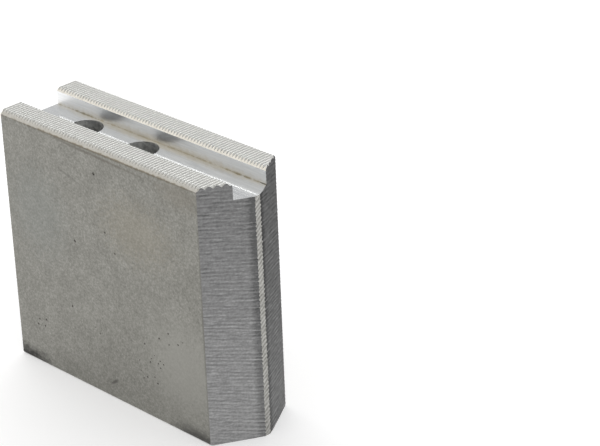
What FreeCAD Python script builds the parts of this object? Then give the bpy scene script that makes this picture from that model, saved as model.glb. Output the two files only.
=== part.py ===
"""Machinable soft jaw for a 10 inch power chuck, in millimetres.

One block of aluminium. It stands on its gripping face, at Z = 0, with the serrated
mounting face up. X runs from the back end to the pointed nose, which meets the other
two jaws of the set at the chuck's centre. The origin is the middle of the base.
"""
import FreeCAD, Part
import math
import os

# The bar that the jaw is cut from.
LENGTH = 114.3
WIDTH = 38.1
HEIGHT = 101.6
BAR_CORNER_RADIUS = 0.8

# The nose: two saw cuts that leave a narrow flat between them.
NOSE_ANGLE = 120.0
NOSE_FLAT = 3.2

# The slot for the chuck's 16 mm tongue.
SLOT_WIDTH = 16.0
SLOT_DEPTH = 6.35
SLOT_EDGE_CHAMFER = 1.2
OUTER_EDGE_CHAMFER = 1.6

# The serrations across both rails: 1.5 mm pitch, 60 degrees.
TOOTH_PITCH = 1.5
TOOTH_ANGLE = 60.0
TOOTH_DEPTH = 0.95

# The two M12 bolt holes, each with a deep counterbore from the gripping face.
BOLT_FROM_BACK = 25.0
BOLT_SPACING = 30.0
BOLT_COUNT = 2
BOLT_HOLE_DIAMETER = 13.5
COUNTERBORE_DIAMETER = 20.0
SEAT_THICKNESS = 19.0

# How far a cutting shape stands out past the face that it enters.
OVERRUN = 1.0

BACK_X = -LENGTH / 2
NOSE_X = LENGTH / 2
SIDE_Y = WIDTH / 2
SLOT_Y = SLOT_WIDTH / 2
SLOT_FLOOR_Z = HEIGHT - SLOT_DEPTH


def vector(x, y, z):
    return FreeCAD.Vector(x, y, z)


def nose_x_at(y):
    """The X where a nose face stands, at a distance y from the middle plane."""
    set_back = (abs(y) - NOSE_FLAT / 2) / math.tan(math.radians(NOSE_ANGLE / 2))
    return NOSE_X - set_back


def face_of(points):
    return Part.Face(Part.makePolygon(points + points[:1]))


def plan_prism():
    """The view from above: a rectangle with a pointed nose, as tall as the jaw."""
    shoulder_x = nose_x_at(SIDE_Y)
    outline = [
        vector(BACK_X, -SIDE_Y, 0),
        vector(shoulder_x, -SIDE_Y, 0),
        vector(NOSE_X, -NOSE_FLAT / 2, 0),
        vector(NOSE_X, NOSE_FLAT / 2, 0),
        vector(shoulder_x, SIDE_Y, 0),
        vector(BACK_X, SIDE_Y, 0),
    ]
    return face_of(outline).extrude(vector(0, 0, HEIGHT))


def half_section():
    """Half of the end view, from the base's middle round to the slot's middle."""
    corner = BAR_CORNER_RADIUS
    turn = corner * (1 - math.cos(math.radians(45)))
    return [
        Part.LineSegment(vector(BACK_X, 0, 0), vector(BACK_X, SIDE_Y - corner, 0)),
        Part.Arc(
            vector(BACK_X, SIDE_Y - corner, 0),
            vector(BACK_X, SIDE_Y - turn, turn),
            vector(BACK_X, SIDE_Y, corner),
        ),
        *lines_through([
            vector(BACK_X, SIDE_Y, corner),
            vector(BACK_X, SIDE_Y, HEIGHT - OUTER_EDGE_CHAMFER),
            vector(BACK_X, SIDE_Y - OUTER_EDGE_CHAMFER, HEIGHT),
            vector(BACK_X, SLOT_Y + SLOT_EDGE_CHAMFER, HEIGHT),
            vector(BACK_X, SLOT_Y, HEIGHT - SLOT_EDGE_CHAMFER),
            vector(BACK_X, SLOT_Y, SLOT_FLOOR_Z),
            vector(BACK_X, 0, SLOT_FLOOR_Z),
        ]),
    ]


def lines_through(points):
    return [Part.LineSegment(a, b) for a, b in zip(points, points[1:])]


def section_prism():
    """The end view, with the slot and every long chamfer, as long as the jaw."""
    half = Part.Wire([curve.toShape() for curve in half_section()])
    other_half = half.mirror(vector(0, 0, 0), vector(0, 1, 0))
    outline = Part.Wire(Part.__sortEdges__(half.Edges + other_half.Edges))
    return Part.Face(outline).extrude(vector(LENGTH, 0, 0))


def groove_cutter(x):
    """One V-shaped cutter right across the jaw, with its point on a tooth's root."""
    slope = math.tan(math.radians(TOOTH_ANGLE / 2))
    reach = (TOOTH_DEPTH + OVERRUN) * slope
    section = face_of([
        vector(x, -SIDE_Y - OVERRUN, HEIGHT - TOOTH_DEPTH),
        vector(x + reach, -SIDE_Y - OVERRUN, HEIGHT + OVERRUN),
        vector(x - reach, -SIDE_Y - OVERRUN, HEIGHT + OVERRUN),
    ])
    return section.extrude(vector(0, WIDTH + 2 * OVERRUN, 0))


def serration_cutters():
    """V cutters at the tooth pitch, from half a pitch in to the rails' nose end."""
    first_x = BACK_X + TOOTH_PITCH / 2
    rail_end_x = nose_x_at(SLOT_Y)
    count = int((rail_end_x - first_x) / TOOTH_PITCH) + 1
    return [groove_cutter(first_x + i * TOOTH_PITCH) for i in range(count)]


def bolt_hole(x):
    """A clearance hole up to the slot, and the counterbore that seats the head."""
    seat_z = SLOT_FLOOR_Z - SEAT_THICKNESS
    up = vector(0, 0, 1)
    counterbore = Part.makeCylinder(
        COUNTERBORE_DIAMETER / 2, seat_z + OVERRUN, vector(x, 0, -OVERRUN), up
    )
    clearance = Part.makeCylinder(
        BOLT_HOLE_DIAMETER / 2, HEIGHT + OVERRUN - seat_z, vector(x, 0, seat_z), up
    )
    return counterbore.fuse(clearance)


def bolt_holes():
    first_x = BACK_X + BOLT_FROM_BACK
    return [bolt_hole(first_x + i * BOLT_SPACING) for i in range(BOLT_COUNT)]


def soft_jaw():
    blank = section_prism().common(plan_prism())
    serrated = blank.cut(serration_cutters())
    return serrated.cut(bolt_holes())


def as_one_solid(shape):
    if len(shape.Solids) != 1:
        raise ValueError(f"the jaw is one piece, but {len(shape.Solids)} were made")
    return shape.Solids[0]


os.makedirs("parts", exist_ok=True)
jaw = as_one_solid(soft_jaw())
jaw.exportStep("parts/soft_jaw.step")

box = jaw.BoundBox
print(f"soft_jaw: {box.XLength:.2f} x {box.YLength:.2f} x {box.ZLength:.2f} mm")
print(f"volume {jaw.Volume / 1000:.1f} cm3, {len(jaw.Faces)} faces, valid: {jaw.isValid()}")
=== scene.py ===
# %% [markdown]
# # A machinable soft jaw
#
# The object is one block of aluminium: a soft top jaw for a power chuck. It stands
# here on its gripping face, with the serrated mounting face up. This lesson builds it
# the way a shop does. It starts with a sawn piece of bar, then cuts the slot, the bolt
# holes, the serrations and the pointed nose out of it, and lets each cutter leave its own
# finish behind.

# %% Load the frame
import math
import random

import bmesh
import bpy
from mathutils import Matrix, Quaternion, Vector, noise


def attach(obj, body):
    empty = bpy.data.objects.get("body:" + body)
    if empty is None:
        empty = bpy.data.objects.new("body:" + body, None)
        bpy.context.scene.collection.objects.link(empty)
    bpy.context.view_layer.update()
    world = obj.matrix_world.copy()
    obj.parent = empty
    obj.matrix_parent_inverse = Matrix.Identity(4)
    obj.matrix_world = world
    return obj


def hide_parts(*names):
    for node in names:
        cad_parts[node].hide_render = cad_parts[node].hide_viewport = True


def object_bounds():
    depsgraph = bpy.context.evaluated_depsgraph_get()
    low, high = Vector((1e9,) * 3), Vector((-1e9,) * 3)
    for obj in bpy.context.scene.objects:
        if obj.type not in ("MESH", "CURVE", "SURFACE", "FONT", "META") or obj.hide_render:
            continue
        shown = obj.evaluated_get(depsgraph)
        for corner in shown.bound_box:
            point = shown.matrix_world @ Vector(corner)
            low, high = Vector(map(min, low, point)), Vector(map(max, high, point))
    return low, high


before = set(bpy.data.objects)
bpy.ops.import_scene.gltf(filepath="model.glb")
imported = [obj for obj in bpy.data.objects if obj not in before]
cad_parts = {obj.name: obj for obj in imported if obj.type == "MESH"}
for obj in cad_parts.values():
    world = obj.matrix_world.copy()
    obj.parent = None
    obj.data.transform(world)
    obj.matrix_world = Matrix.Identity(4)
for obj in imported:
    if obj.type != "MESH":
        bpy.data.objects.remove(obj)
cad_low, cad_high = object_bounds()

MM = 0.001
size = (cad_high - cad_low) / MM
print("the frame is %.2f x %.2f x %.2f mm" % tuple(size))

# %% [markdown]
# ## Camera
#
# A long lens, 140 mm, stands well back and keeps the block's edges almost parallel, as is
# usual where workholding is shown in a catalogue. The camera looks down by 26 degrees, so
# that the serrated face, the slot, one side and the nose all show. It leans by two
# degrees. A Track To constraint would also aim it, but a direction turned straight into
# a rotation leaves nothing live in the scene.

# %% Camera
camera_data = bpy.data.cameras.new("camera")
camera_data.lens = 140
camera_data.sensor_width = 36
camera = bpy.data.objects.new("camera", camera_data)
bpy.context.scene.collection.objects.link(camera)
camera.location = Vector((577.45, -497.29, 436.7)) * MM
looking = Vector((-0.63685, 0.63312, -0.43997))
lean = Quaternion((0, 0, 1), math.radians(-2.11))
camera.rotation_mode = "QUATERNION"
camera.rotation_quaternion = looking.to_track_quat("-Z", "Y") @ lean
bpy.context.scene.camera = camera
bpy.context.scene.view_settings.view_transform = "Standard"
print("camera at", [round(c, 3) for c in camera.location])

# %% [markdown]
# ## Helpers for materials
#
# Colours are written as the hex values that a paint program shows, and one function
# turns them into the linear light that Blender calculates with. A second function adds
# a node to a material, sets it up and links it, so that each finish reads as a list.

# %% Colours
def linear(hex_colour):
    levels = [int(hex_colour[i:i + 2], 16) / 255 for i in (1, 3, 5)]
    return tuple(
        level / 12.92 if level <= 0.04045 else ((level + 0.055) / 1.055) ** 2.4
        for level in levels
    ) + (1,)


WHITE = linear("#FFFFFF")
print("#BCBCB8 is", [round(c, 3) for c in linear("#BCBCB8")])


# %% Nodes
def add(tree, kind, inputs=None, stops=(), **settings):
    """Adds a node. An input is given a value, or another node's output to link.

    The stops of a Color Ramp are given as (position, hex colour) pairs.
    """
    node = tree.nodes.new("ShaderNode" + kind)
    for name, value in settings.items():
        setattr(node, name, value)
    for name, value in (inputs or {}).items():
        if isinstance(value, bpy.types.NodeSocket):
            tree.links.new(value, node.inputs[name])
        else:
            node.inputs[name].default_value = value
    if stops:
        ramp = node.color_ramp.elements
        while len(ramp) > 1:
            ramp.remove(ramp[-1])
        ramp[0].position = stops[0][0]
        ramp[0].color = linear(stops[0][1])
        for position, colour in stops[1:]:
            ramp.new(position).color = linear(colour)
    return node


def blank_material(name):
    material = bpy.data.materials.new(name)
    material.use_nodes = True
    material.node_tree.nodes.clear()
    return material


# %% [markdown]
# ## Floor and light
#
# Bare metal shows what stands round it more than it shows lamps, so the surroundings
# matter most. The block stands on a plain pale sheet in a plain pale room. The Light Path
# node makes both white to the camera, which puts no more light on the block. The metal
# shows them too, and there the room fades from white at the horizon to grey overhead. In
# an even white room the faces that look up would reflect nothing but white, and the slot
# would lose its form. One large soft lamp hangs behind the block, and two weak ones, to
# the left and in front, lift the shaded faces.

# %% Which rays see the backdrop
def backdrop_rays(tree):
    """The Light Path node, and a node that is 1 for all rays that show the backdrop.

    Those are camera, glossy and transmission rays. For the light that falls on
    things it is 0.
    """
    path = add(tree, "LightPath")
    camera_or_mirror = add(tree, "Math", {0: path.outputs["Is Camera Ray"],
                                          1: path.outputs["Is Glossy Ray"]},
                           operation="MAXIMUM")
    seen = add(tree, "Math", {0: camera_or_mirror.outputs[0],
                              1: path.outputs["Is Transmission Ray"]},
               operation="MAXIMUM")
    return path, seen


# %% Floor
SHEET_SIZE = 6
SHEET_GLOW = 0.35

bpy.ops.mesh.primitive_plane_add(size=SHEET_SIZE, location=(0, 0, 0))
floor = bpy.context.object
floor.name = "floor"

paper = blank_material("white_sheet")
tree = paper.node_tree
path, seen = backdrop_rays(tree)
lift = add(tree, "Math", {0: seen.outputs[0], 1: SHEET_GLOW}, operation="MULTIPLY")
sheet = add(tree, "BsdfDiffuse", {"Color": linear("#E6E6E6")})
glow = add(tree, "Emission", {"Color": WHITE, "Strength": lift.outputs[0]})
both = add(tree, "AddShader", {0: sheet.outputs[0], 1: glow.outputs[0]})
add(tree, "OutputMaterial", {"Surface": both.outputs[0]})
floor.data.materials.append(paper)
print("floor of", floor.dimensions.x, "m")

# %% World
ROOM_LIGHT = 0.72
OVERHEAD = 0.3

world = bpy.data.worlds.new("studio")
world.use_nodes = True
bpy.context.scene.world = world
tree = world.node_tree
tree.nodes.clear()
path, seen = backdrop_rays(tree)
direction = add(tree, "SeparateXYZ", {0: add(tree, "TexCoord").outputs["Generated"]})
curtain = add(tree, "MapRange", {"Value": direction.outputs["Z"], "From Min": 0.15,
                                 "From Max": 0.85, "To Min": 1.0, "To Max": OVERHEAD})
backdrop = add(tree, "Math", {0: path.outputs["Is Camera Ray"],
                              1: curtain.outputs["Result"]}, operation="MAXIMUM")
strength = add(tree, "Mix", {"Factor": seen.outputs[0], "A": ROOM_LIGHT,
                             "B": backdrop.outputs[0]}, data_type="FLOAT")
air = add(tree, "Background", {"Color": WHITE, "Strength": strength.outputs["Result"]})
add(tree, "OutputWorld", {"Surface": air.outputs[0]})
print("the room lights the block at", ROOM_LIGHT)


# %% Lamps
def softbox(name, place, target, width, height, power):
    """A rectangular area lamp that looks from one point, in mm, at another."""
    lamp_data = bpy.data.lights.new(name, "AREA")
    lamp_data.shape = "RECTANGLE"
    lamp_data.size = width * MM
    lamp_data.size_y = height * MM
    lamp_data.energy = power
    lamp = bpy.data.objects.new(name, lamp_data)
    bpy.context.scene.collection.objects.link(lamp)
    lamp.location = Vector(place) * MM
    lamp.rotation_mode = "QUATERNION"
    aim = Vector(target) - Vector(place)
    lamp.rotation_quaternion = aim.to_track_quat("-Z", "Y")
    return lamp


back = softbox("back_lamp", (-868, 518, 1066), (0, 0, 100), 1400, 600, 7.2)
left = softbox("left_lamp", (-896, -616, 982), (0, 0, 100), 700, 500, 0.75)
front = softbox("front_lamp", (1000, -300, 600), (0, 0, 50), 500, 400, 0.8)
left.data.color = linear("#FFF4E2")[:3]
print("lamps:", back.name, left.name, front.name)

# %% [markdown]
# ## The finishes of bare aluminium
#
# All of the block is one alloy, but each face shows what made it. The two sides and the
# base keep the dull grey skin of the drawn bar. The nose and the back end are sawn, so
# they are streaked across. The serrations, the slot and the long chamfers are milled and
# bright, and the bolt holes are drilled. Each finish is a metal with its own colour and
# roughness. All patterns read Object coordinates, in metres, so their scales are worked
# out from sizes in millimetres.

# %% A metal to start from
LENGTH, WIDTH, HEIGHT = size
SIDE = WIDTH / 2


def per_mm(period):
    """The scale that repeats a pattern once in this many millimetres."""
    return 1 / (period * MM)


def start_finish(name):
    """An empty material, its nodes, and the place on the block for its patterns."""
    material = blank_material(name)
    tree = material.node_tree
    return material, tree, add(tree, "TexCoord").outputs["Object"]


def metal(tree, colour, roughness, **others):
    inputs = {"Base Color": colour, "Roughness": roughness, "Metallic": 1.0}
    inputs.update(others)
    shader = add(tree, "BsdfPrincipled", inputs)
    add(tree, "OutputMaterial", {"Surface": shader.outputs["BSDF"]})


print("a pattern of 1 mm has a scale of", round(per_mm(1)))

# %% [markdown]
# ### Marks
#
# A block that has been handled has smudges, stains and scratches. They could be painted
# by hand on a texture, but a few round stains, stretched and turned, do as well. Each
# fades out at a rim that a noise pattern makes ragged. The same round marks also lay one
# patch of painted light.

# %% Marks
CRUMB = 1.6


def mark(tree, place, base, colour, centre, reach, turn=0.0, strength=1.0, ragged=0.5):
    """Lays a colour round a point, in mm, for stains and for patches of painted light. The
    reach is half the mark's size each way.
    """
    scale = [1 / (r * MM) for r in reach]
    centred = add(tree, "VectorMath", {0: place, 1: Vector(centre) * MM},
                  operation="SUBTRACT")
    turned = add(tree, "Mapping", {"Vector": centred.outputs["Vector"],
                                   "Rotation": (0, math.radians(turn), 0)})
    scaled = add(tree, "VectorMath", {0: turned.outputs["Vector"], 1: scale},
                 operation="MULTIPLY")
    length = add(tree, "VectorMath", {0: scaled.outputs["Vector"]}, operation="LENGTH")
    crumbs = add(tree, "TexNoise", {"Vector": place, "Scale": per_mm(CRUMB), "Detail": 2})
    edge = add(tree, "Math", {0: crumbs.outputs["Fac"], 1: ragged,
                              2: length.outputs["Value"]}, operation="MULTIPLY_ADD")
    share = add(tree, "MapRange", {"Value": edge.outputs[0], "From Min": 1 + ragged / 2,
                                   "From Max": 0.2 + ragged / 2, "To Max": strength},
                interpolation_type="SMOOTHSTEP")
    marked = add(tree, "Mix", {"Factor": share.outputs["Result"], "A": base,
                                "B": linear(colour)}, data_type="RGBA")
    return marked.outputs["Result"]


# %% [markdown]
# ### Mill finish
#
# Mill finish is the skin that a drawn bar has when it leaves the mill: a dull, slightly
# warm grey, cloudy and finely grained. The clouds are 9 mm across. The grain of a real
# skin is finer than could show from here, so it is drawn at 0.75 mm, and a faint bump
# from the same pattern breaks up the reflections. The marks are, in turn, three broad
# tints, two dark smudges at the foot, a lighter patch of painted light low towards the
# nose, two brown lines under the chamfer, a dark line beside the nose, and two scratches.

# %% Mill finish, on the sides and the base
mill, tree, place = start_finish("mill_finish_aluminium")
clouds = add(tree, "TexNoise", {"Vector": place, "Scale": per_mm(9), "Detail": 5,
                                "Roughness": 0.6})
grain = add(tree, "TexNoise", {"Vector": place, "Scale": per_mm(0.75), "Detail": 3,
                               "Roughness": 0.65})
tone = add(tree, "Mix", {"Factor": 0.76, "A": clouds.outputs["Fac"],
                         "B": grain.outputs["Fac"]}, data_type="FLOAT")
colours = add(tree, "ValToRGB", {"Fac": tone.outputs["Result"]},
              stops=[(0.32, "#73726C"), (0.5, "#898882"), (0.68, "#9F9E98")])
skin = colours.outputs["Color"]
for colour, centre, reach, turn, strength, ragged in (
        ("#979080", (14, -SIDE, 74), (26, 6, 18), 0, 0.30, 1.2),
        ("#858A88", (-40, -SIDE, 66), (22, 6, 26), 0, 0.30, 1.2),
        ("#7C766B", (38, -SIDE, 96), (16, 6, 8), 0, 0.35, 1.4),
        ("#3C3B39", (-55, -SIDE, 0), (20, 6, 7.0), 0, 0.95, 0.9),
        ("#434240", (41, -SIDE, 0), (18, 6, 6.5), 0, 0.90, 1.0),
        # Painted light: this lighter patch lifts the lower side towards the nose.
        ("#9C9B95", (36, -SIDE, 26), (30, 6, 30), 0, 0.7, 0.8),
        ("#66625A", (-5, -SIDE, 98.2), (38, 6, 0.8), -2.2, 0.6, 0.6),
        ("#645B49", (0, -SIDE, 99.8), (80, 6, 0.7), 0, 0.6, 1.4),
        ("#5E5D59", (47, -SIDE, 50), (1.0, 6, 60), 0, 0.5, 0.8),
        ("#575551", (-3.6, -SIDE, 7.2), (4, 6, 0.9), 33, 0.8, 0.6),
        ("#6C6B66", (-21, -SIDE, 86), (9, 6, 0.8), -14, 0.5, 0.8)):
    skin = mark(tree, place, skin, colour, centre, reach, turn, strength, ragged)
bump = add(tree, "Bump", {"Height": grain.outputs["Fac"], "Strength": 0.35,
                          "Distance": 0.05 * MM})
metal(tree, skin, 0.42, Normal=bump.outputs["Normal"])
print(mill.name)

# %% [markdown]
# ### Oxide
#
# Corrosion fills a pit with a dull crust. It is only a little darker than the skin,
# because the hollow itself is shaded, and it reflects nothing sharply.

# %% Dark oxide, in the pits
pitted, tree, place = start_finish("pitted_oxide")
crust = add(tree, "TexNoise", {"Vector": place, "Scale": per_mm(0.3), "Detail": 2})
colours = add(tree, "ValToRGB", {"Fac": crust.outputs["Fac"]},
              stops=[(0.3, "#676660"), (0.7, "#7F7E77")])
metal(tree, colours.outputs["Color"], 0.6)
print(pitted.name)

# %% [markdown]
# ### Sawn
#
# A bandsaw leaves torn ridges, bright on their crests and dark in their hollows. The
# ridges are real, and each point of the mesh carries its height in an attribute, which
# this finish turns into a tone: partly the rub of the saw on the crests, and partly a
# painted highlight on the crests and painted shade in the hollows. Streaks that are 3 mm
# long and 0.45 mm high and a grit of 0.8 mm are added to it, and painted shade that
# darkens the faces slowly towards the top. The Specular Tint keeps the metal grey where
# it is seen at a low angle.

# %% Sawn, on the nose and the back end
sawn, tree, place = start_finish("sawn_aluminium")
streaks = add(tree, "Mapping", {"Vector": place,
                                "Scale": (per_mm(3), per_mm(3), per_mm(0.45))})
torn = add(tree, "TexNoise", {"Vector": streaks.outputs["Vector"], "Scale": 1.0, "Detail": 3})
depth = add(tree, "Attribute", attribute_name="saw_depth")
# Partly the saw's rub on the crests, partly painted highlight on the crests and painted shade
# in the hollows.
crest_rub_and_painted_light = add(tree, "MapRange", {"Value": depth.outputs["Fac"], "From Min": -0.14,
                               "From Max": 0.14, "To Min": 0.0, "To Max": 1.0})
grit = add(tree, "TexNoise", {"Vector": place, "Scale": per_mm(0.8), "Detail": 2})
scuffed = add(tree, "Mix", {"Factor": 0.45, "A": torn.outputs["Fac"],
                            "B": grit.outputs["Fac"]}, data_type="FLOAT")
tone = add(tree, "Mix", {"Factor": 0.62, "A": crest_rub_and_painted_light.outputs["Result"],
                         "B": scuffed.outputs["Result"]}, data_type="FLOAT")
up = add(tree, "SeparateXYZ", {0: place}).outputs["Z"]
# Painted shade: the sawn faces darken slowly towards the top.
painted_top_shade = add(tree, "MapRange", {"Value": up, "From Max": HEIGHT * MM, "To Min": 0.10,
                               "To Max": -0.10})
tone_with_painted_shade = add(tree, "Math", {0: tone.outputs["Result"], 1: painted_top_shade.outputs["Result"]},
              operation="ADD")
colours = add(tree, "ValToRGB", {"Fac": tone_with_painted_shade.outputs[0]},
              stops=[(0.25, "#5B5B5B"), (0.5, "#838383"), (0.75, "#ABABAB")])
metal(tree, colours.outputs["Color"], 0.36, **{"Specular Tint": linear("#A0A0A0")})
print(sawn.name)

# %% [markdown]
# ### Burnished
#
# The narrow flat at the nose is rubbed brighter than the sawn faces beside it, in a
# slanting pattern like a twisted cord. A Wave Texture gives even stripes, and a noise
# pattern and some distortion make them less regular.

# %% Burnished, on the narrow flat at the nose
TWIST = 1.5

burnished, tree, place = start_finish("burnished_nose_flat")
beads = add(tree, "TexNoise", {"Vector": place, "Scale": per_mm(1.2), "Detail": 2})
slanted = add(tree, "Mapping", {"Vector": place, "Rotation": (math.radians(-35), 0, 0)})
# A Wave Texture's stripes are pi / (10 * scale) apart.
twist = add(tree, "TexWave", {"Vector": slanted.outputs["Vector"],
                              "Scale": math.pi / (10 * TWIST * MM), "Distortion": 3.5,
                              "Detail": 1, "Detail Scale": 1.0},
            wave_type="BANDS", bands_direction="Z")
cord = add(tree, "Mix", {"Factor": 0.34, "A": beads.outputs["Fac"],
                         "B": twist.outputs["Fac"]}, data_type="FLOAT")
colours = add(tree, "ValToRGB", {"Fac": cord.outputs["Result"]},
              stops=[(0.25, "#807F7A"), (0.5, "#9D9C98"), (0.75, "#B6B5B1")])
metal(tree, colours.outputs["Color"], 0.35)
print(burnished.name)


# %% [markdown]
# ### Milled
#
# A milling cutter leaves clean, bright metal. The teeth are cut with a form cutter and
# look satin, so they are rougher than the smooth chamfers at the mouth of the slot. Both
# have faint clouds of 1 mm. Oil and oxide have dulled the near outer chamfer along its
# lower edge, and left a thin brown line there.

# %% Milled, on the rails and the mouth of the slot
def milled_finish(name, shades, roughness):
    """Bright cut metal, a little stained along the lower edge of the near chamfer."""
    material, tree, place = start_finish(name)
    cloud = add(tree, "TexNoise", {"Vector": place, "Scale": per_mm(1.0), "Detail": 3})
    colours = add(tree, "ValToRGB", {"Fac": cloud.outputs["Fac"]},
                  stops=list(zip((0.3, 0.5, 0.7), shades)))
    dulled = mark(tree, place, colours.outputs["Color"], "#B4AEA0",
                  (0, -SIDE, HEIGHT - 1.2), (300, 2.2, 2.0), 0, 0.4, 0.8)
    marked = mark(tree, place, dulled, "#8A7E64",
                   (0, -SIDE, HEIGHT - 1.7), (90, 0.9, 0.45), 0, 0.75, 1.6)
    metal(tree, marked, roughness)
    print(material.name)
    return material


milled_rail = milled_finish("milled_rails", ("#DCDCD8", "#DFDFDC", "#E3E3E0"), 0.56)
milled_mouth = milled_finish("milled_slot_mouth", ("#D2D2CE", "#DADAD7", "#E2E2DF"), 0.26)


# %% [markdown]
# ### The slot's finish
#
# The floor of the slot is nearly a mirror, and it shows the far wall, the bolt holes and
# the chamfer above. An end mill leaves arcs across its path, and they blur what is
# reflected along the slot but hardly across it. That is an anisotropic shader, with its
# tangent turned to lie along the slot. The walls are plainer. Both have faint streaks,
# 12 mm long and 0.5 mm wide, and a brown stain in the corner between them.

# %% Milled, on the floor and walls of the slot
def slot_finish(name, shades, roughness, arcs=0.0):
    """Streaked, bright metal. The arcs say how much an end mill's marks blur it."""
    material, tree, place = start_finish(name)
    lines = add(tree, "Mapping", {"Vector": place,
                                  "Scale": (per_mm(12), per_mm(0.5), per_mm(0.5))})
    feed = add(tree, "TexNoise", {"Vector": lines.outputs["Vector"], "Scale": 1.0,
                                  "Detail": 2})
    colours = add(tree, "ValToRGB", {"Fac": feed.outputs["Fac"]},
                  stops=list(zip((0.3, 0.5, 0.7), shades)))
    finish = colours.outputs["Color"]
    for colour, centre, reach, strength, ragged in (
            ("#D3CCBB", (0, 8, 95.2), (90, 4.5, 3.0), 0.5, 0.8),
            ("#B3AA90", (0, 8, 95.2), (90, 0.7, 0.5), 0.4, 2.0),
            ("#989078", (-43, 8, 95.2), (7, 0.8, 0.6), 0.4, 1.8),
            ("#989078", (42, 8, 95.2), (9, 0.8, 0.6), 0.35, 1.8),
            ("#6B6758", (52, 8, 95.2), (2.5, 0.6, 0.5), 0.7, 0.8)):
        finish = mark(tree, place, finish, colour, centre, reach, 0, strength, ragged)
    lay = {}
    if arcs:
        # On a face that looks up, a tangent round the Y axis lies along X.
        along = add(tree, "Tangent", direction_type="RADIAL", axis="Y")
        lay = {"Anisotropic": arcs, "Tangent": along.outputs["Tangent"]}
    metal(tree, finish, roughness, **lay)
    print(material.name)
    return material


slot_floor = slot_finish("milled_slot_floor", ("#C9CBCD", "#D4D6D7", "#DEDFDF"), 0.08, 0.9)
slot_wall = slot_finish("milled_slot_wall", ("#E9EBEC", "#F0F1F2", "#F6F7F7"), 0.40)

# %% [markdown]
# ### Drilled
#
# A drill leaves a bore that is bright but rough, and mottled by the chips that rub it.
# Most of what it reflects is its own dark inside, so its colour is nearly white.

# %% Drilled, in the bolt holes
drilled, tree, place = start_finish("drilled_aluminium")
mottle = add(tree, "TexNoise", {"Vector": place, "Scale": per_mm(1.6), "Detail": 3})
colours = add(tree, "ValToRGB", {"Fac": mottle.outputs["Fac"]},
              stops=[(0.35, "#BEBFBE"), (0.65, "#F2F2F0")])
metal(tree, colours.outputs["Color"], 0.5)
print(drilled.name)


# %% [markdown]
# ## Helpers for cutting metal
#
# Selecting by hand means clicking. Here a test on each face's or edge's place does the
# clicking. A cut is a Boolean modifier, applied at once. Its material mode is set to
# Transfer, so a cut face takes the finish of the cutter that made it.

# %% Select
def only(piece):
    """Deselects everything and makes this piece the selected, active one."""
    bpy.ops.object.select_all(action="DESELECT")
    piece.select_set(True)
    bpy.context.view_layer.objects.active = piece


def pick(piece, kind, test):
    """In edit mode, selects the piece's "faces", "edges" or "verts" that pass a test."""
    only(piece)
    bpy.ops.object.mode_set(mode="EDIT")
    bpy.ops.mesh.select_mode(type={"verts": "VERT", "edges": "EDGE", "faces": "FACE"}[kind])
    bpy.ops.mesh.select_all(action="DESELECT")
    mesh = bmesh.from_edit_mesh(piece.data)
    chosen = [item for item in getattr(mesh, kind) if test(item)]
    for item in chosen:
        item.select_set(True)
    mesh.select_flush_mode()
    bmesh.update_edit_mesh(piece.data)
    return len(chosen)


def leave_edit_mode():
    bpy.ops.object.mode_set(mode="OBJECT")


def finish_faces(piece, slot, test):
    """Gives the faces that pass a test the finish in one of the piece's slots."""
    pick(piece, "faces", test)
    piece.active_material_index = slot
    bpy.ops.object.material_slot_assign()
    leave_edit_mode()


# %% Shape and cut
def settle(piece):
    """Puts the piece's place, turn and scale into its mesh."""
    only(piece)
    bpy.ops.object.transform_apply(location=True, rotation=True, scale=True)


def apply(piece, modifier):
    only(piece)
    bpy.ops.object.modifier_apply(modifier=modifier.name)


def cut(piece, cutter):
    knife = piece.modifiers.new("cut", "BOOLEAN")
    knife.operation = "DIFFERENCE"
    knife.solver = "EXACT"
    knife.material_mode = "TRANSFER"
    knife.object = cutter
    apply(piece, knife)
    bpy.data.objects.remove(cutter)
    print(piece.name, "now has", len(piece.data.polygons), "faces")


def box_between(name, low, high, finish):
    """A cube primitive stretched between two corners, in mm."""
    middle = (Vector(low) + Vector(high)) / 2 * MM
    bpy.ops.mesh.primitive_cube_add(size=1, location=middle)
    piece = bpy.context.object
    piece.name = name
    piece.scale = (Vector(high) - Vector(low)) * MM
    settle(piece)
    piece.data.materials.append(finish)
    return piece


# %% [markdown]
# ## The bar
#
# The jaw starts as a length of rectangular bar, four inches high and an inch and a half
# wide. A drawing die rounds a bar's corners a little, as the lower two still are. The
# upper two are milled off at 45 degrees. A cube is stretched to the frame's box, its
# long edges are picked, and each pair is bevelled in edit mode.

# %% Saw off a length of bar
BACK, NOSE = -LENGTH / 2, LENGTH / 2
BAR_CORNER = 0.8
OUTER_CHAMFER = 1.6

jaw = box_between("jaw", (BACK, -SIDE, 0), (NOSE, SIDE, HEIGHT), mill)


def at_height(corner, height):
    return abs(corner.co.z - height * MM) < 0.01 * MM


def long_edge(edge, height):
    start, end = edge.verts
    return abs(start.co.x - end.co.x) > LENGTH / 2 * MM and at_height(start, height)


print(pick(jaw, "edges", lambda e: long_edge(e, 0)), "lower edges")
bpy.ops.mesh.bevel(offset=BAR_CORNER * MM, segments=4, affect="EDGES")
leave_edit_mode()
print(pick(jaw, "edges", lambda e: long_edge(e, HEIGHT)), "upper edges")
bpy.ops.mesh.bevel(offset=OUTER_CHAMFER * MM, segments=1, affect="EDGES")
leave_edit_mode()

# %% Finish the bar's top and nose
jaw.data.materials.append(milled_rail)
jaw.data.materials.append(burnished)
finish_faces(jaw, 1, lambda f: f.normal.z > 0.5)
finish_faces(jaw, 2, lambda f: f.normal.x > 0.9)
print("finishes:", [slot.name for slot in jaw.material_slots])

# %% [markdown]
# ## The slot
#
# The chuck's tongue is 16 mm wide and fills the slot along the mounting face. The cutter
# is a box whose top flares out at 45 degrees, so that one cut leaves both the slot and
# the small chamfers along its mouth.

# %% Mill the slot
SLOT_HALF = 8.0
SLOT_DEPTH = 6.35
MOUTH = 1.2
SLOT_FLOOR_Z = HEIGHT - SLOT_DEPTH
PAST = 1.0

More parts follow.
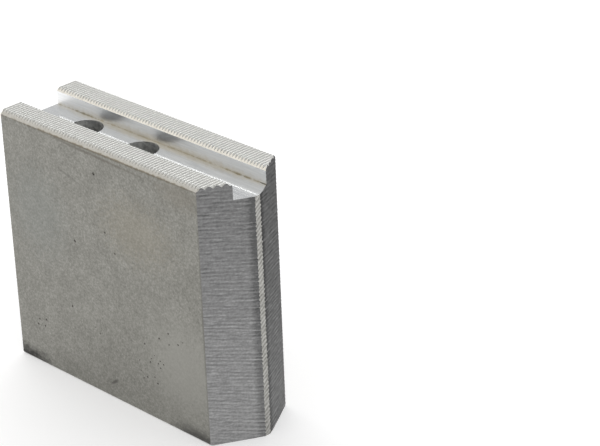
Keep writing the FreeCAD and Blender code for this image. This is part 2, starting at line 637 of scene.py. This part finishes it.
slot_cutter = box_between("slot_cutter", (BACK - PAST, -SLOT_HALF, SLOT_FLOOR_Z),
                          (NOSE + PAST, SLOT_HALF, HEIGHT - MOUTH), slot_wall)
slot_cutter.data.materials.append(milled_mouth)
slot_cutter.data.materials.append(slot_floor)
finish_faces(slot_cutter, 2, lambda f: f.normal.z < -0.5)
pick(slot_cutter, "faces", lambda f: f.normal.z > 0.5)
bpy.ops.mesh.extrude_region_move(
    TRANSFORM_OT_translate={"value": (0, 0, (MOUTH + PAST) * MM)})
flare = (SLOT_HALF + MOUTH + PAST) / SLOT_HALF
bpy.ops.transform.resize(value=(1, flare, 1))
leave_edit_mode()
finish_faces(slot_cutter, 1, lambda f: 0.1 < abs(f.normal.z) < 0.9)
cut(jaw, slot_cutter)

# %% [markdown]
# ## The bolt holes
#
# Two M12 cap screws hold the jaw down. Each hole is a 13.5 mm clearance drilled up into
# the slot, with a 20 mm counterbore from the gripping face that swallows the head. The
# stepped drill that cuts both at once is a cylinder whose end is inset and extruded.

# %% Drill and counterbore
FIRST_HOLE = BACK + 25.0
HOLE_SPACING = 30.0
SEAT_Z = SLOT_FLOOR_Z - 19.0
BORE_RADIUS = 6.75
HEAD_RADIUS = 10.0


def stepped_drill(x):
    """A drill that stands at X, in mm, from below the block to above it."""
    bpy.ops.mesh.primitive_cylinder_add(
        vertices=96, radius=HEAD_RADIUS * MM, depth=(SEAT_Z + PAST) * MM,
        location=(x * MM, 0, (SEAT_Z - PAST) / 2 * MM))
    drill = bpy.context.object
    settle(drill)
    drill.data.materials.append(drilled)
    pick(drill, "faces", lambda f: f.normal.z > 0.9)
    bpy.ops.mesh.inset(thickness=(HEAD_RADIUS - BORE_RADIUS) * MM)
    bpy.ops.mesh.extrude_region_move(
        TRANSFORM_OT_translate={"value": (0, 0, (HEIGHT + PAST - SEAT_Z) * MM)})
    leave_edit_mode()
    return drill


for i in range(2):
    cut(jaw, stepped_drill(FIRST_HOLE + i * HOLE_SPACING))

# %% [markdown]
# ## The serrations
#
# Rows of 60 degree teeth, 1.5 mm apart, run across both rails and lock the jaw to the
# chuck. They stop where the slanting nose faces begin. One V-shaped cutter is made from a
# box, whose lower edges are drawn together, and an Array modifier repeats it at the
# pitch. Above the crests its flanks are steeper, which keeps the copies from touching.

# %% Where the nose faces stand
HALF_POINT = math.radians(60)
NOSE_FLAT = 3.2


def nose_at(y):
    """X where a nose face stands, at a distance y from the middle plane."""
    return NOSE - (abs(y) - NOSE_FLAT / 2) / math.tan(HALF_POINT)


print("the rails end at X = %.1f to %.1f mm" % (nose_at(SIDE), nose_at(SLOT_HALF)))

# %% Make one cutter
PITCH = 1.5
DEPTH = 0.95
FLANK = math.tan(math.radians(30))
BLANK_HALF = 0.7
BLANK_OVER = 0.3
CREST_DROP = 0.05
ROOT_HALF = 0.03
CREST_HALF = ROOT_HALF + (DEPTH - CREST_DROP) * FLANK

first_root = BACK + PITCH / 2
comb = box_between("comb", (first_root - BLANK_HALF, -SIDE - PAST, HEIGHT - DEPTH),
                   (first_root + BLANK_HALF, SIDE + PAST, HEIGHT + BLANK_OVER), milled_rail)
only(comb)
bpy.ops.object.mode_set(mode="EDIT")
bpy.ops.mesh.select_all(action="SELECT")
bpy.ops.mesh.bisect(plane_co=(0, 0, (HEIGHT - CREST_DROP) * MM), plane_no=(0, 0, 1))
leave_edit_mode()
middle = Vector((first_root * MM, 0, 0))
for height, half in ((HEIGHT - DEPTH, ROOT_HALF), (HEIGHT - CREST_DROP, CREST_HALF)):
    pick(comb, "verts", lambda v: at_height(v, height))
    bpy.ops.transform.resize(value=(half / BLANK_HALF, 1, 1), center_override=middle)
    leave_edit_mode()
print("one cutter, %.2f mm wide just under the crests" % (2 * CREST_HALF))

# %% Cut the teeth
repeat = comb.modifiers.new("pitch", "ARRAY")
repeat.count = int((nose_at(SLOT_HALF) - first_root) / PITCH) + 1
repeat.use_relative_offset = False
repeat.use_constant_offset = True
repeat.constant_offset_displace = (PITCH * MM, 0, 0)
print(repeat.count, "grooves")
apply(comb, repeat)
cut(jaw, comb)


# %% [markdown]
# ## The sawn faces
#
# The nose is two saw cuts at 60 degrees to the length, which leave a narrow flat between
# them, and the back end is one. A bandsaw blade wanders by a tenth of a millimetre, and
# each tooth leaves a fine ridge, so the faces are ribbed and their edges are ragged. A
# bump map would leave those edges straight, so the ribs are real. Each cutter's leading
# face is a fine grid, and every point of it is pushed in or out by a rib pattern: rows
# 1.5 mm apart that lean over, fade in and out, and have torn streaks between them. Beside
# the flat the saw tears deeper.

# %% The rib pattern
RIB_PITCH = 1.5
RIB_HEIGHT = 0.07
TEAR_WIDTH = 3.0
TEAR_DEPTH = 0.22


def rib_height(along, up, lean_top, lean_foot, seed, nose_edge, gain):
    """How far the saw stood off, in mm, at a place on its face."""
    share = up / HEIGHT
    lean = math.tan(math.radians(lean_foot + (lean_top - lean_foot) * share))
    row = (up - along * lean) / RIB_PITCH
    wander = noise.noise(Vector((row * 0.31, along / 30, seed)))
    rib = math.cos(2 * math.pi * (row + 0.35 * wander))
    fade = 0.55 + 1.1 * noise.noise(Vector((row * 1.1, along / 8, seed + 20)))
    torn = noise.noise(Vector((along / 4, row * 2.7, seed + 40)))
    near_nose = max(0.0, 1 - abs(along - nose_edge) / TEAR_WIDTH)
    tear = near_nose * (TEAR_DEPTH + 0.12 * rib * fade)
    return gain * (RIB_HEIGHT * rib * fade + RIB_HEIGHT * torn) + tear


# %% The saw
GRID_ALONG = 0.9
GRID_UP = 0.3
SAW_THICKNESS = 30
FAR_OFF = -100


def saw(name, width, start, turn, lean_top, lean_foot, seed,
        nose_edge=FAR_OFF, gain=1.0, bias=0.0):
    """A block whose leading face is ribbed.

    The grid lies along +X from `start` and faces -Y, so that it bulges towards the
    metal, then turns about the start by an angle. The bias sinks it deeper, in mm.
    """
    height = HEIGHT + 2 * PAST
    bpy.ops.mesh.primitive_grid_add(
        x_subdivisions=int(width / GRID_ALONG), y_subdivisions=int(height / GRID_UP), size=1)
    cutter = bpy.context.object
    cutter.name = name
    cutter.scale = (width * MM, height * MM, 1)
    settle(cutter)
    for corner in cutter.data.vertices:
        along = corner.co.x / MM + width / 2
        up = corner.co.y / MM + height / 2 - PAST
        ribs = rib_height(along, up, lean_top, lean_foot, seed, nose_edge, gain)
        corner.co = Vector((along, -(ribs + bias), up)) * MM
    pick(cutter, "edges", lambda e: e.is_boundary)
    rear = (0, SAW_THICKNESS * MM, 0)
    bpy.ops.mesh.extrude_edges_move(TRANSFORM_OT_translate={"value": rear})
    bpy.ops.transform.resize(value=(1, 0, 1), center_override=rear)
    bpy.ops.mesh.edge_face_add()
    bpy.ops.mesh.select_all(action="SELECT")
    bpy.ops.mesh.normals_make_consistent(inside=False)
    leave_edit_mode()
    cutter.data.transform(Matrix.Rotation(math.radians(turn), 4, "Z"))
    cutter.data.transform(Matrix.Translation(Vector(start) * MM))
    cutter.data.materials.append(sawn)
    return cutter


# %% Saw the nose and the back end
OVER = 4.0

face_width = (SIDE - NOSE_FLAT / 2) / math.sin(HALF_POINT) + 2 * OVER
near_start = (NOSE + OVER * 0.5, -NOSE_FLAT / 2 + OVER * math.sin(HALF_POINT), 0)
far_start = (nose_at(SIDE) - OVER * 0.5, SIDE + OVER * math.sin(HALF_POINT), 0)
back_start = (BACK, -SIDE - OVER, 0)
cut(jaw, saw("near_saw", face_width, near_start, -120, 6, 13, 3, nose_edge=OVER))
cut(jaw, saw("far_saw", face_width, far_start, -60, 12, 4, 5,
             nose_edge=face_width - OVER, gain=1.3))
cut(jaw, saw("back_saw", WIDTH + 2 * OVER, back_start, 90, 2, 4, 9, bias=0.1))

# %% [markdown]
# ## Pits
#
# Handling and old corrosion have left small pits in the near side: a cluster low down
# towards the nose and a few single ones. They could be dark dots in the colour, but real
# hollows catch the light from any side. The punches are rough balls of several sizes,
# sunk not quite half-way into the face, joined, and cut out together.

# %% Choose where the pits are
LEAST_GAP = 1.4

random.seed(11)
pits = [(-20, 60, 0.55), (-6.5, 91, 0.65), (-2.6, 69, 0.45), (-24.6, 31.6, 0.45),
        (-41, 20, 0.5), (-42, 17, 0.45), (-45, 19, 0.4), (-46, 16.5, 0.5), (2, 62, 0.4)]
for low_x, high_x, low_z, high_z, number in ((11, 25, 15, 30, 14), (23, 36, 34, 39, 5),
                                             (-50, 40, 10, 90, 5)):
    wanted = len(pits) + number
    while len(pits) < wanted:
        x, z = random.uniform(low_x, high_x), random.uniform(low_z, high_z)
        if all(math.dist((x, z), pit[:2]) > LEAST_GAP for pit in pits):
            pits.append((x, z, random.uniform(0.22, 0.42)))
print(len(pits), "pits")

# %% Punch them
punches = []
for x, z, radius in pits:
    bpy.ops.mesh.primitive_ico_sphere_add(
        subdivisions=2, radius=radius * MM,
        location=(x * MM, -(SIDE + radius * 0.2) * MM, z * MM))
    punches.append(bpy.context.object)
only(punches[0])
for punch in punches:
    punch.select_set(True)
bpy.ops.object.join()
punches = bpy.context.object
settle(punches)
punches.data.materials.append(pitted)
cut(jaw, punches)

# %% [markdown]
# ## Loose slivers
#
# Cutting a flat face along a ragged line can leave a sliver folded flat, two triangles
# back to back on the same three corners. They can't be seen, but a closed mesh has none.
# Turning the faces into triangles drops one of each pair, because a mesh holds no face
# twice. What is left is a flap, which is known by its open edges and is deleted.

# %% Clear the folded slivers
SAME_POINT = 0.001

only(jaw)
bpy.ops.object.mode_set(mode="EDIT")
bpy.ops.mesh.select_all(action="SELECT")
bpy.ops.mesh.remove_doubles(threshold=SAME_POINT * MM)
bpy.ops.mesh.dissolve_degenerate(threshold=SAME_POINT * MM)
bpy.ops.mesh.select_all(action="SELECT")
bpy.ops.mesh.quads_convert_to_tris(quad_method="BEAUTY", ngon_method="BEAUTY")
leave_edit_mode()


def is_flap(face):
    return any(len(edge.link_faces) == 1 for edge in face.edges)


print(pick(jaw, "faces", is_flap), "flaps")
bpy.ops.mesh.delete(type="FACE")
leave_edit_mode()
print(pick(jaw, "edges", lambda e: len(e.link_faces) != 2), "open edges")
leave_edit_mode()

# %% [markdown]
# ## The depth of the saw marks
#
# The sawn finish needs to know which points are crests and which are hollows. A mesh can
# carry a number for each point, and here it is how far, in mm, the point stands out from
# the nearest of the three planes that the saw followed.

# %% Note how deep the saw went
SAWN_PLANES = (
    (Vector((math.sin(HALF_POINT), -0.5, 0)), Vector((NOSE, -NOSE_FLAT / 2, 0))),
    (Vector((math.sin(HALF_POINT), 0.5, 0)), Vector((NOSE, NOSE_FLAT / 2, 0))),
    (Vector((-1, 0, 0)), Vector((BACK, 0, 0))),
)
depths = jaw.data.attributes.new("saw_depth", "FLOAT", "POINT")
for corner in jaw.data.vertices:
    point = corner.co / MM
    offs = [normal.dot(point - origin) for normal, origin in SAWN_PLANES]
    depths.data[corner.index].value = min(offs, key=abs)
print("depths of", len(depths.data), "points")

# %% [markdown]
# ## Shading and the frame
#
# The ribs and the rounded corners are smooth, and every machined edge is sharp, so the
# block is shaded smooth only where two faces meet at less than 24 degrees. A Weighted
# Normal modifier then lets the large flat faces win, so that none of them shows a
# gradient beside a rounded corner.

# %% Finish the piece
only(jaw)
bpy.ops.object.shade_smooth_by_angle(angle=math.radians(24))
level = jaw.modifiers.new("level", "WEIGHTED_NORMAL")
level.keep_sharp = True
level.weight = 50
apply(jaw, level)

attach(jaw, "root")
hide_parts("soft_jaw")
jaw.data.calc_loop_triangles()
print("jaw:", len(jaw.data.loop_triangles), "triangles,",
      [slot.name for slot in jaw.material_slots])
